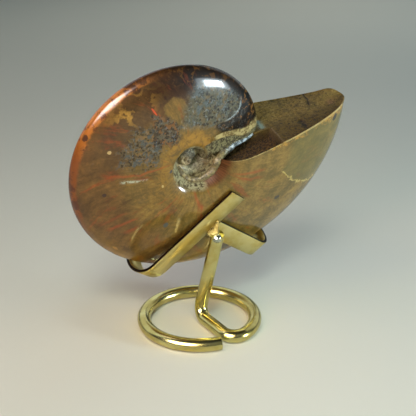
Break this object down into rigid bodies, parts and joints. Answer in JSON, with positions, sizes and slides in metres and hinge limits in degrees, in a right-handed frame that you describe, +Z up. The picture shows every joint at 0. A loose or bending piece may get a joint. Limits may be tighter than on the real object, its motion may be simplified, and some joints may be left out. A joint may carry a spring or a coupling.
{
  "type": "ammonite fossil on stand",
  "caption": "Polished coiled ammonite fossil standing upright, its edge held in the hooks of a brass strip cradle on a bent-wire ring foot.",
  "frame": {"origin": "middle of the object's box, on the surface that the wire ring stands on", "axes": "+Z up, +X across the shell towards its aperture, -Y towards the post and the flank that leans on the cradle"},
  "size_m": [0.1018, 0.0478, 0.0968],
  "materials": {
    "polished_fossil": "polished stone, mottled brown, amber and grey-green",
    "brass": "polished, pale gold",
    "solder": "bright solder, greyish gold"
  },
  "bodies": {
    "root": {"ammonite": "polished_fossil", "wire_base": "brass", "long_arm": "brass", "short_arm": "brass", "solder_joint": "solder"}
  },
  "joints": []
}
